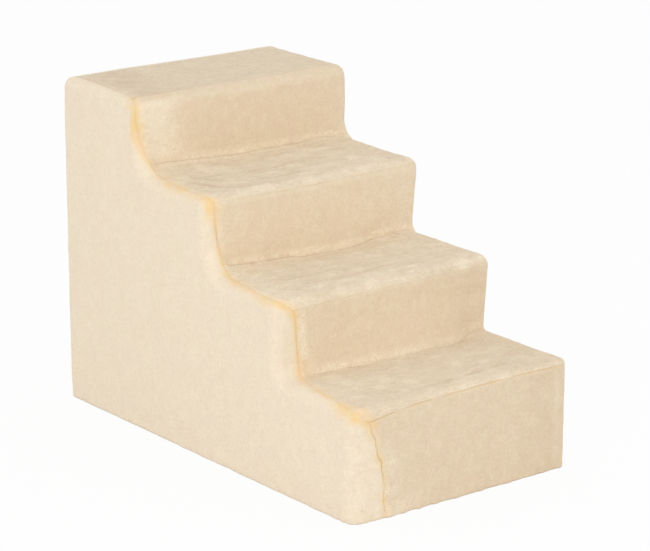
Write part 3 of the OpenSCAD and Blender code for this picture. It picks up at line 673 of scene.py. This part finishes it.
def side_cover(side, node):
    """The flat side, its rolled edge up to the seam, and its hem below."""
    s_low = flat_z - under_z
    s_high = travel[9] - s_low
    stations = s_low + (s_high - s_low) * graded(s_high - s_low, 3.3, 3.3)
    # Rows run from the seam (0) round the edge (1) and down the flat side (2)
    wrap = graded(edge_runs[side], 1, 3.8, 0.16, end=False)
    down = graded(side_run, 2, 16, 0.11)
    rows = np.concatenate([wrap, 1 + down[1:]])
    mesh, i, j = grid_of(node, stations, rows)
    s, v = stations[i], rows[j]
    spots, out = skin(s, seam_line(side, s) * (1 - np.minimum(v, 1)), side)
    # Below the edge round, the flat side runs down to a straight line above the hem
    foot_y = np.interp(
        s, np.concatenate([[s_low], travel[1:9], [s_high]]),
        [front + 50, front + 70] + [nose + ahead for nose in noses[1:] for ahead in (46, 70)]
        + [back - 60, back - 42])
    base = foot_y[:, None] * (0, 1, 0) + (side * half_width, 0, flat_z)
    spots = spots + (base - spots) * unit(v - 1)[:, None]
    # The lower edge is drawn out below, to be rolled in as the hem
    mesh.vertices.foreach_set("co", (spots / 1000).ravel())
    bm = bmesh.new()
    bm.from_mesh(mesh)
    keep = bm.verts.layers.float_vector.new("out")
    path = bm.verts.layers.float.new("path")
    far = bm.verts.layers.float.new("far")
    low = bm.verts.layers.int.new("low")
    beyond = np.where(v <= 1, seam_line(side, s) * np.minimum(v, 1), 1000)
    lower = (i == 0) | (i == len(stations) - 1) | (j == len(rows) - 1)
    for vert, direction, distance, station, edge in zip(bm.verts, out, beyond, s, lower):
        vert[keep] = direction
        vert[far] = distance
        vert[path] = station
        vert[low] = int(edge)
    rim = [e for e in bm.edges if e.is_boundary and all(vert[low] for vert in e.verts)]
    start = {}
    for step in range(1, hem_rings + 1):
        made = bmesh.ops.extrude_edge_only(bm, edges=rim)["geom"]
        for vert in (g for g in made if isinstance(g, bmesh.types.BMVert)):
            if step == 1:
                start[vert.co.xy[:]] = vert.co.z
            top = start[vert.co.xy[:]]
            vert.co.z = top + (under_z / 1000 - top) * step / hem_rings
        rim = [g for g in made if isinstance(g, bmesh.types.BMEdge)]
    bmesh.ops.recalc_face_normals(bm, faces=bm.faces)
    bm.to_mesh(mesh)
    spots = np.array([vert.co for vert in bm.verts]) * 1000
    out, beyond, s = (np.array([vert[layer] for vert in bm.verts]) for layer in (keep, far, path))
    bm.free()
    # The warm band beside the stitches, and a soft puff of pile past it, painted paler as a highlight
    seam = near(beyond, seam_width)
    depth = seam_depth[side](s)
    spread = ragged(spots, seam_spread[side](s))
    warm = warm_band(spots, beyond - 1.5, seam_warmth[side](s), spread)
    fluff = fluffy(spots)
    puff = near(beyond - spread - 5, 3.5)
    # The pile is rough beside the seam of the lowest riser and above the hem there
    lowest = s < travel[1]
    rough = smooth(45, 12, beyond) * smooth(0.95, 0.7, s / travel[1])
    rough = np.maximum(rough, smooth(90, 40, beyond) * smooth(50, 12, spots[:, 2]) * lowest)
    relief = plush_relief(spots) + hem_gathers(spots)
    flat = smooth(0.9, 1, np.abs(out[:, 0]))
    relief = (relief * (1 - 0.35 * flat) + 0.5 * puff * fluff - seam_sink(depth) * seam
              + 0.35 * rough * cloudy(spots, 4.5, 0))
    spots = spots + out * relief[:, None]
    tufted = rough * patchy(spots, 5, 0, 0.6, 0.6)
    shaded = smooth(80, 30, beyond) * smooth(1, 0.8, s / travel[1]) * patchy(spots, 5.5, 2, 0, 1)
    spots, out = roll_under(spots, out, edge_rounds[side](s))
    # Painted shade in the seam groove and in a strip beside it, and pale tufts with a painted highlight
    # on the puff
    lay(mesh, spots, out, {
        "warm": np.maximum(warm, 0.22 * rough * patchy(spots, 9, 1, 0, 1)),
        "deep": np.maximum(depth * seam * patchy(spots, 16, 3, 0.8, 0.8), 0.12 * shaded),
        "puffed": unit(0.3 * puff * fluff * (1 - warm) + 0.6 * tufted)})
    fabric_piece(mesh, side_plush, node)


side_cover(-1, "left_side_cover")


# Right side cover: the mirror piece of the left one, of the same plush. Its seam
# stays on the edge, and its inner corners are drawn in less.
side_cover(1, "right_side_cover")


# Step covers: plush of a warmer shade, one piece to each tread and one to each riser.
# A tread piece meets its riser in a fine seam at the nose and the next riser in a
# crease, where a flap holds it down. All tables run across x or over travel.
step_plush = plush("step_plush", (0.81, 0.678, 0.488), (0.77, 0.628, 0.443), (0.79, 0.623, 0.458),
                   (0.87, 0.64, 0.325), (1, 1, 0.9), 0.065,
                   ((0.825, 0.7, 0.52), (0.77, 0.64, 0.46), (0.785, 0.635, 0.475), (0.5, 1, 1), 0.12))
# How far each crease stands above its tread, and how far it is pulled forward, across x
crease_lifts = [
    drawn([-193, -129, -85, -52, -22, 63, 98, 124, 141, 155, 177, 193],
          [-3.5, -3.5, -4, -5, -6, -6, -5, -5, -4, 0, 2, 2], 5),
    drawn([-193, -134, -107, -72, -35, -15, 46, 66, 90, 111, 133, 150, 193],
          [5, 5, 2.5, 1, -0.5, -3.2, -3.8, -4.2, -3.5, -0.5, 0.5, 3.5, 3], 5),
    drawn([-193, -150, -115, -79, -9, 38, 106, 130, 155, 193],
          [11, 11, 9, 7, 2.5, 4, 2.5, 4.5, 4.5, 2], 5)]
crease_pulls = [
    drawn([-193, -129, -85, -52, 0, 63, 98, 124, 141, 155, 193],
          [0, 10, 10, 14, 18, 20, 18, 18, 12, 2, 0], 6),
    drawn([-193, -40, -15, 46, 66, 90, 111, 193], [0, 0, 4, 5, 7, 4, 0, 0], 6),
    drawn([-193, 193], [0, 0])]
# How far the lift and the pull reach, up the riser and forward over the tread
lift_reach, pull_reach = (62, 60), (70, 24)
# Travel from each nose to its seam, across x, less than zero below the nose
nose_seams = [
    drawn([-160, -133, -105, -77, -33, 19, 68, 120, 185], [-19, -15, -12, -10, -9, -7, -6.5, -7, -9], 4),
    drawn([-160, -132, -92, 0, 190], [-16, -15, -13, -12, -12], 4),
    drawn([-160, -77, 0, 190], [-5, -7, -8, -5], 4),
    drawn([-175, -145, -111, -72, -47, -23, 3, 27, 49, 75, 101, 133, 160],
          [21, 21, 19.5, 19.5, 19, 17.5, 17, 18.5, 17, 15, 16, 17, 21], 4)]
nose_shows = [
    drawn([-193, 150, 193], [1, 1, 0.7]), drawn([-193, -150, -100, -60, 193], [1, 1, 0.7, 0.15, 0.1]),
    drawn([-193, -100, -60, -40, 0, 40, 60, 193], [0.1, 0.1, 0.5, 0.2, 0.5, 0.5, 0.1, 0.1]),
    drawn([-193, -60, 0, 60, 90, 193], [1, 0.9, 0.4, 0.4, 0.8, 0.9])]
# How dark the painted shade in each nose seam is, and how warm each seam shows
nose_darkness, nose_warmth = [0.24, 0.24, 0.24, 0.42], [0.6, 0.3, 0.3, 0.6]
# Over how far the riser's tone passes into the tread's at each nose
nose_fades = [3, 15, 15, 4]
# Middle and half width of the tucks along the front hem, and how far they stand out
hem_tucks = [(-128, 5), (-106, 6), (-76, 5), (-46, 6), (-10, 7), (35, 5)]
tuck_height = 2.4
# Shallow wrinkles where the cover is drawn tight from the left inner corners:
# depth, width and points (x, distance behind the nose)
wrinkles = {
    2: [(1.5, 4, [(-140, 122), (-132, 101), (-119, 84), (-106, 66), (-78, 51), (-30, 45), (20, 48)]),
        (1.5, 4.5, [(-154, 96), (-146, 70), (-138, 48), (-118, 30), (-80, 26)]),
        (0.9, 4, [(-120, 112), (-70, 96), (-10, 92), (50, 100)]),
        (0.6, 4, [(-130, 60), (-80, 26), (-20, 20)]), (0.5, 5, [(-60, 90), (10, 70), (90, 72)]),
        (0.5, 5, [(30, 40), (90, 50), (150, 52)])],
    1: [(1.1, 4, [(-150, 60), (-128, 40), (-120, 22)]),
        (0.9, 4, [(-110, 60), (-60, 48), (0, 52), (60, 60)]),
        (0.9, 4, [(-140, 110), (-110, 90), (-60, 84), (-10, 92)]),
        (0.5, 5, [(0, 90), (50, 100), (100, 96)]), (0.5, 5, [(50, 50), (100, 40), (150, 46)])],
    0: [(1, 4, [(-130, 95), (-112, 80), (-90, 74)]), (1.2, 5, [(-105, 62), (-95, 40), (-80, 26)]),
        (1.2, 5, [(-80, 30), (-20, 26), (60, 34), (120, 40)]), (0.5, 5, [(20, 70), (80, 74), (140, 66)])],
    3: [(0.5, 5, [(-150, 60), (-60, 70), (40, 62)]), (0.4, 5, [(-40, 130), (60, 120), (150, 128)])]}


def line_gap(x, y, line):
    """Distances from a bent line, and from the nearer one of its ends."""
    best = np.full(len(x), 1e9)
    for (x0, y0), (x1, y1) in zip(line[:-1], line[1:]):
        dx, dy = x1 - x0, y1 - y0
        f = unit(((x - x0) * dx + (y - y0) * dy) / (dx * dx + dy * dy))
        best = np.minimum(best, np.hypot(x - x0 - f * dx, y - y0 - f * dy))
    ends = np.minimum(*(np.hypot(x - x0, y - y0) for x0, y0 in (line[0], line[-1])))
    return best, ends


def step_surface(s, across, full, left_at, right_at):
    """Spots, directions and tints of any piece of the cover over the steps."""
    from_left = across < full / 2
    spots, out = (np.where(from_left[:, None], left, right)
                  for left, right in zip(skin(s, across, -1), skin(s, full - across, 1)))
    x, z = spots[:, 0], spots[:, 2]
    along_x = spots * (1, 0, 0)
    mix = corner_mix(x)[0]
    fluff = fluffy(spots)
    relief = plush_relief(spots)
    lift, pull, upper = 0, 0, 1
    tints = {"deep": 0, "puffed": 0, "stitched": 0}

    def more(name, amount):
        tints[name] = np.maximum(tints[name], amount)

    # Creases between the treads and the risers above them, with painted shade in each fold and pale puffs
    # beside it that carry painted highlights
    for j in range(3):
        away = s - travel[2 * j + 2]
        sharp = 1 - mix[j]
        on_riser = away > 0
        fade = np.where(on_riser, unit(1 - away / lift_reach[0]) ** 1.3,
                        unit(1 + away / lift_reach[1]) ** 2)
        lift += (crease_lifts[j](x) + 0.5 * cloudy(along_x, 19, j)) * sharp * fade
        pull += crease_pulls[j](x) * sharp * np.where(
            on_riser, unit(1 - away / pull_reach[0]) ** 1.5, unit(1 + away / pull_reach[1]))
        gap = np.abs(away)
        valley = near(gap, 1.1) * sharp
        rim = near(gap - 6, np.where(on_riser, 6.5, 6)) * sharp ** 2
        relief += -0.15 * valley + np.where(on_riser, 0.65, 0.45) * rim * (0.8 + 0.6 * fluff)
        more("deep", valley * 0.14 * patchy(along_x, 15, 2, 0.9, 0.7, 0.2, 1.4))
        more("puffed", rim * np.where(on_riser, 1, 0.8))
        broad = near(gap, np.where(on_riser, 16, 34)) * (0.35 + 0.65 * mix[j] * from_left)
        more("puffed", broad * unit(0.4 + 0.9 * cloudy(spots, 11, 2) + 0.3 * cloudy(spots, 5, 0)))
    # Fine seams at the noses, with painted shade in each and a pale rim with a painted highlight beside
    # it
    for k in range(4):
        beyond = s - travel[2 * k + 1] - nose_seams[k](x)
        gap = np.abs(beyond)
        shows = nose_shows[k](x) * patchy(along_x, 22, k, 0.8, 0.8, 0.15)
        valley = near(gap, 1.2) * shows
        rim = near(gap - 3.6, 2.2) * shows
        relief += -0.3 * valley + 0.2 * rim
        more("deep", nose_darkness[k] * valley)
        more("puffed", 0.35 * rim)
        more("stitched", nose_warmth[k] * near(gap, 1.8) * shows)
        here = (s >= travel[2 * k]) & (s < travel[2 * k + 2])
        upper = np.where(here, smooth(-nose_fades[k], nose_fades[k], beyond), upper)
    # The top tread and the lowest step are a little darker, riser 3 a little paler
    more("deep", np.where(s > travel[7], 0.055 * upper, np.where(s < travel[2], 0.035, 0)))
    more("puffed", 0.3 * (1 - upper) * smooth(travel[4], travel[4] + 30, s) * (s < travel[5] + 20))
    # Wrinkles on the treads, with painted shade in their grooves and around them
    for k, lines in wrinkles.items():
        behind = s - travel[2 * k + 1]
        for depth, width, line in lines:
            gap, ends = line_gap(x, behind, line)
            there = smooth(0, 14, ends) * ((behind > 4) & (s < travel[2 * k + 2]))
            groove = near(gap, width) * there
            relief += depth * (0.45 * near(gap - 2.1 * width, width) * there - groove)
            broad = near(gap, 2.5 * width) * there
            more("deep", depth * (0.1 * groove + 0.06 * broad))
    # Seams along both sides, with a rim, small puffs and dents beside them, painted shade in the seam and
    # painted highlights on the rim
    gap = np.minimum(across - left_at, full - right_at - across)
    at_left = across - left_at < full - right_at - across
    depth = np.where(at_left, seam_depth[-1](s), seam_depth[1](s))
    valley, rim, dents = near(gap, seam_width), near(gap - 7, 3.5), near(gap - 14, 6)
    relief += (-seam_sink(depth) * valley + 0.7 * rim * fluff
               - 0.8 * dents * np.maximum(cloudy(spots, 10, 3), 0))
    more("deep", depth * valley * patchy(spots, 16, 3, 0.8, 0.8))
    fillet = sum(near(s - travel[j], 30) for j in (2, 4, 6))
    spread = ragged(spots, np.where(at_left, (0.85 + 0.5 * fillet) * seam_spread[-1](s), 2.5))
    warm = warm_band(spots, gap - 1, np.where(at_left, seam_warmth[-1](s), 0.2), spread)
    more("puffed", 0.6 * rim * fluff)
    tints["puffed"] = tints["puffed"] * (1 - warm)
    sidelike = at_left * np.maximum(
        0.3 * smooth(travel[7] - 6, travel[7] + 14, s) * near(gap, 15), 0.35 * near(gap, 7))
    # The pile is rougher near the left end of the highest and of the lowest riser
    lowest = s < travel[1]
    rough = (smooth(112, 34, gap) * at_left * smooth(travel[6] + 4, travel[6] + 20, s)
             * smooth(travel[7] + 6, travel[7] - 10, s))
    rough = np.maximum(rough, smooth(45, 10, gap) * at_left * smooth(0.8, 0.6, s / travel[1]))
    relief += 0.4 * rough * cloudy(spots, 3.2, 0)
    tufted = unit(0.75 + 0.5 * cloudy(spots, 3.2, 0) + 0.5 * cloudy(spots, 14, 1))
    more("puffed", rough * tufted * (1 - 0.8 * warm))
    more("deep", 0.14 * rough * patchy(spots, 5, 2, 0, 1))
    sidelike = np.maximum(sidelike, 0.75 * smooth(95, 30, gap) * rough * (s > travel[6]))
    # The pile is browner at the left of the top tread, and painted shade darkens the right of the lowest
    # step, where the light falls off
    more("deep", 0.16 * smooth(140, 40, gap) * at_left * (s > travel[7] + 15))
    more("deep", 0.11 * smooth(40, 160, x) * (s < travel[3]))
    # Pale and dark patches lie on the treads, and the two lower ones pale to the left
    more("deep", 0.13 * upper * patchy(spots * (0.6, 1, 1), 13, 0, -0.1, 1))
    more("puffed", 1.1 * upper * patchy(spots * (0.7, 1, 1), 17, 1, 0.1, 1) * (s < travel[6]))
    more("puffed", np.where(s > travel[3], 0.95, 0.45) * smooth(70, 10, gap) * at_left
         * upper * (s < travel[5]))
    # The middle risers are pale beside the left seam, and so is the left of the front hem
    strip = np.where(s < travel[3], 13, 8)
    middle_risers = sum(smooth(foot + 12, foot + 30, s) * smooth(nose + 4, nose - 12, s)
                        for foot, nose in (travel[2:4], travel[4:6]))
    more("puffed", 0.85 * at_left * middle_risers * smooth(strip + 9, strip, gap) * (1 - warm))
    more("puffed", 0.6 * smooth(90, 40, gap) * at_left * smooth(46, 10, z) * lowest)
    # Tucks of the hem stand out at the foot of the lowest riser
    tucks = sum(near(x - middle, wide) for middle, wide in hem_tucks)
    relief += tuck_height * tucks * smooth(24, 4, z) * lowest
    # The lowest riser has a flat dent and a fold beside its right edge, with painted shade in the dent
    # and a painted highlight on the fold
    fold = smooth(8, 30, z) * smooth(158, 140, z) * lowest
    dent, ridge = near(x - 152, 8) * fold, near(x - 176, 6) * fold
    relief += 0.9 * ridge - 0.8 * dent
    more("deep", 0.1 * dent)
    more("puffed", 0.5 * ridge)
    spots = spots + out * relief[:, None]
    spots[:, 2] += lift
    spots[:, 1] -= pull
    return spots, out, {
        "warm": np.maximum(warm, tints["stitched"]), "upper": upper, "sidelike": sidelike,
        "deep": unit(tints["deep"] * (0.85 + 0.45 * cloudy(spots, 18, 3))),
        "puffed": unit(tints["puffed"] * (0.8 + 0.5 * cloudy(spots, 9, 1) + 0.4 * cloudy(spots, 21, 0)))}


# The cover of the top tread ends where the back covers begin, short of the back edge
back_starts = travel[7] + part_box("tread_cover_4")[1].y * 1000 + 0.4 - noses[3]
# Lengths over which the grids are graded: a tread, the risers and the width of a step
tread_run, riser_runs, step_run = 180, [185, 112, 112, 112], 372


def step_cover(i, kind):
    """The tread or the riser cover of a step, between the side seams."""
    tread, name = kind == "tread", kind + "_%s_" + str(i + 1)
    start = back_starts if tread and i == 3 else travel[2 * i + 2 * tread]
    rows = graded(tread_run if tread else riser_runs[i], 0.8, 2.2)
    columns = graded(step_run, 1, 2.2)
    mesh, a, b = grid_of(name % "cover", columns, rows)
    u, v = columns[a], rows[b]
    x_rough = -half_width + 18 + u * (2 * half_width - 22)
    seam_s = travel[2 * i + 1] + nose_seams[i](x_rough)
    s = start + (seam_s - start) * v
    # Distance over the steps from one flat side to the other
    both = edge_rounds[-1](s) + edge_rounds[1](s)
    full = 2 * half_width - both + both * math.pi / 2
    left_at, right_at = seam_line(-1, s), seam_line(1, s)
    across = left_at + (full - left_at - right_at) * u
    spots, out, tints = step_surface(s, across, full, left_at, right_at)
    if i == 0 and not tread:
        spots = spots + out * hem_gathers(spots)[:, None]
        spots, out = roll_under(spots, out, hem_corner)
    lay(mesh, spots, out, tints)
    fabric_piece(mesh, step_plush, name % "cover")


for i in range(4):
    step_cover(i, "tread")
    step_cover(i, "riser")


# Back covers: two pieces of the side plush. They meet in a seam above and below the
# zip, and along it their edges turn in beside the teeth.
back_inset, slot_half = 0.4, 7
slot_low, slot_high = (corner.z * 1000 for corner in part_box("zip_tape_left"))
slot_curl, slot_depth, slot_rows, back_run = 5, 4.5, 12, 171


def back_cover(side, node):
    """One half of the back, from the top tread down to its hem."""
    stations = back_starts + (travel[9] - back_starts) * graded(travel[9] - back_starts, 1.2, 3, 0.08)
    # Rows run from the side seam (0) to the slot (1) and down its turned-in edge (2)
    rows = np.concatenate([graded(back_run, 1, 3), 1 + np.linspace(0, 1, slot_rows + 1)[1:]])
    mesh, i, j = grid_of(node, stations, rows)
    s, v = stations[i], rows[j]
    z = skin(s, np.full(len(s), 120), side)[0][:, 2]
    slotted = smooth(slot_low - 8, slot_low - 3, z) * smooth(slot_high + 3, slot_high - 1, z)
    inner = back_inset + (slot_half - back_inset) * slotted
    bend = slot_curl * (0.35 + 0.65 * slotted)
    r = edge_rounds[side](s)
    starts = seam_line(side, s)
    ends = half_width - r + r * math.pi / 2 - inner - bend
    across = starts + (ends - starts) * np.minimum(v, 1)
    spots, out = skin(s, across, side)
    # Past the flat part the edge turns in, round a bend and then straight in
    w = unit(v - 1) * (bend * math.pi / 2 + slot_depth * slotted)
    angle = np.minimum(w / bend, math.pi / 2)
    inwards = bend * (1 - np.cos(angle)) + np.maximum(w - bend * math.pi / 2, 0)
    gap = across - starts
    seam, rim = near(gap, seam_width), near(gap - 6, 3.5)
    relief = plush_relief(spots) * (1 - 0.8 * unit(v - 1)) + 0.4 * rim * cloudy(spots, 8, 1)
    relief += (hem_gathers(spots) - seam_sink(seam_depth[side](s)) * seam) * (v <= 1)
    gathered = 0.8 * near(z - slot_high - 6, 12) * near(np.abs(spots[:, 0]) - 12, 9)
    spots = spots + out * (relief + gathered)[:, None] - out * inwards[:, None]
    spots[:, 0] -= side * bend * np.sin(angle)
    facing = np.sin(angle)[:, None] * (-side, 0, 0)
    out = np.where((spots[:, 2] < flat_z)[:, None], out, out * np.cos(angle)[:, None] + facing)
    middle = near(np.abs(spots[:, 0]), seam_width) * (1 - slotted)
    spots, out = roll_under(spots, out, hem_corner)
    # Painted shade in the side seam and along the middle seam, with some warmth, and pale puffs with
    # painted highlights on the rim beside the side seam
    lay(mesh, spots, out, {
        "warm": 0.2 * seam + 0.25 * middle,
        "deep": unit(0.3 * seam + 0.3 * middle),
        "puffed": unit(0.4 * rim * (0.5 + 0.8 * cloudy(spots, 8, 1)))})
    fabric_piece(mesh, side_plush, node, thickness=2.4)


back_cover(-1, "back_cover_left")
back_cover(1, "back_cover_right")


# Tuck flaps: three strips of undyed cotton cloth, sewn under the inner corners of the
# cover and pushed down between the tread and the riser board, to hold the creases.
def woven(name, colour, threads, depth):
    """Plain cloth: threads over and under, with slubs and a faint ageing."""
    cloth = Surface(name)
    waves = {"Vector": cloth.place, "Scale": threads, "Distortion": 0.8, "Detail": 1}
    warp, weft = (cloth.node("TexWave", "Fac", waves, bands_direction=axis) for axis in "XZ")
    cross = cloth.node("Math", 0, {0: warp, 1: weft}, operation="MAXIMUM")
    dark, aged = toned(colour, 0.78), toned(colour, 0.97, 0.93, 0.85)
    shade = cloth.mix(cloth.ramp(cross, 0.2, 0.9), dark, colour)
    shade = cloth.mix(cloth.ramp(cloth.noise(25, 3), 0.4, 0.7, 0, 0.6), shade, aged)
    shade = cloth.mix(cloth.ramp(cloth.noise(500, 3, (0.15, 1, 1)), 0.6, 0.75, 0, 0.35), shade, dark)
    cloth.coat(shade, 0.9, cloth.raised(cross, 0.6, depth), **{"Specular IOR Level": 0.15})
    return cloth


def cloth_strip(node, surface, ripple=0, keep_out=0):
    """A strip that fills its node's box. It may ripple within its own thickness, and a
    gap may be left in its middle."""
    low, high = (np.array(corner) * 1000 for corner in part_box(node))
    size = high - low
    thin, long = int(np.argmin(size)), int(np.argmax(size))
    wide = 3 - thin - long
    steps, half_rows = max(12, int(size[long] / 3)), 3
    mesh, i, j = grid_of(node, range(steps + 1), range(2 * half_rows + 1))
    spots = np.zeros((len(i), 3))
    spots[:, long] = low[long] + size[long] * i / steps
    spots[:, wide] = low[wide] + size[wide] * j / (2 * half_rows)
    edge = np.abs(j / half_rows - 1) ** 4
    spots[:, wide] += 0.25 * edge * cloudy(spots, 9, 0) * np.sign(half_rows - j)
    spots[:, thin] = (low + high)[thin] / 2 + ripple * cloudy(spots, 45, 1)
    out = np.zeros((len(i), 3))
    out[:, thin] = 1
    lay(mesh, spots, out, {})
    if keep_out:
        bm = bmesh.new()
        bm.from_mesh(mesh)
        inside = [face for face in bm.faces if abs(face.calc_center_median()[long]) * 1000 < keep_out]
        bmesh.ops.delete(bm, geom=inside, context="FACES")
        bm.to_mesh(mesh)
        bm.free()
    piece = fabric_piece(mesh, surface, node, size[thin] - 2 * ripple)
    piece.modifiers["backing"].offset = 0


flap_cloth = woven("flap_cloth", (0.88, 0.83, 0.73), 420, 0.0004)
for i in (1, 2, 3):
    cloth_strip("tuck_flap_%d" % i, flap_cloth,
                0.35)


# Hook tapes: stiff tape with small nylon hooks, glued under the flange of the panels
# and under the front and rear rail. Loop tapes: soft tape sewn to the turned-in hem.
# The rear tapes leave a gap in the middle, below the foot of the zip.
def fastener_tape(name, colour, pitch, soft):
    """Hook or loop tape: rows of small hooks, or a soft mat of loops."""
    tape = Surface(name)
    cells = tape.node("TexVoronoi", "Distance", {
        "Vector": tape.place, "Scale": pitch, "Randomness": 1 if soft else 0.25})
    shade = tape.mix(tape.ramp(cells, 0.1, 0.6), colour, toned(colour, 0.72))
    lint = tape.ramp(tape.noise(260, 4), 0.58, 0.72, 0, 0.5)
    tape.coat(tape.mix(lint, shade, (0.86, 0.78, 0.66)), 0.9 if soft else 0.45,
              tape.raised(cells, 0.7, 0.0005))
    return tape


hooks = fastener_tape("hook_tape", (0.93, 0.92, 0.88), 900, False)
loops = fastener_tape("loop_tape", (0.9, 0.86, 0.78), 1300, True)
# Length of each tape in metres, and what it is held to
tape_runs = {"left": (0.56, "left_side_panel"), "right": (0.56, "right_side_panel"),
             "front": (0.24, "front_rail"), "rear": (0.18, "rear_rail")}
rear_gap_half = 29.5
for kind, surface in (("hook", hooks), ("loop", loops)):
    for place, (length, carrier) in tape_runs.items():
        cloth_strip("%s_tape_%s" % (kind, place), surface,
                    keep_out=rear_gap_half if place == "rear" else 0)


# Zip: two woven tapes, sewn behind the back covers, with moulded nylon teeth, nickel
# stops, and a nickel slider and pull. It opens the cover, to take it off for washing.
tape_cloth = woven("zip_tape_cloth", (0.91, 0.82, 0.66), 520, 0.0003)
for side in ("left", "right"):
    cloth_strip("zip_tape_" + side, tape_cloth, 0.1)

nylon = Surface("zip_teeth_nylon")
milky = nylon.mix(nylon.ramp(nylon.noise(600, 3), 0.4, 0.7), (0.93, 0.85, 0.7), (0.86, 0.76, 0.6))
nylon.coat(milky, nylon.ramp(nylon.noise(900, 2), 0.3, 0.7, 0.28, 0.45),
           nylon.raised(nylon.noise(2500, 2), 0.2, 0.0002))
finish_nodes(nylon, "zip_teeth")
finish_nodes(plated("nickel_plate", (0.74, 0.72, 0.68), (0.62, 0.6, 0.56), 0.24, 1400, (4, 4, 1)),
             "zip_top_stop", "zip_end_stops", "zip_slider", "zip_pull")


size = {"cad": cad_box, "visual": [list(corner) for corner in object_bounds()]}
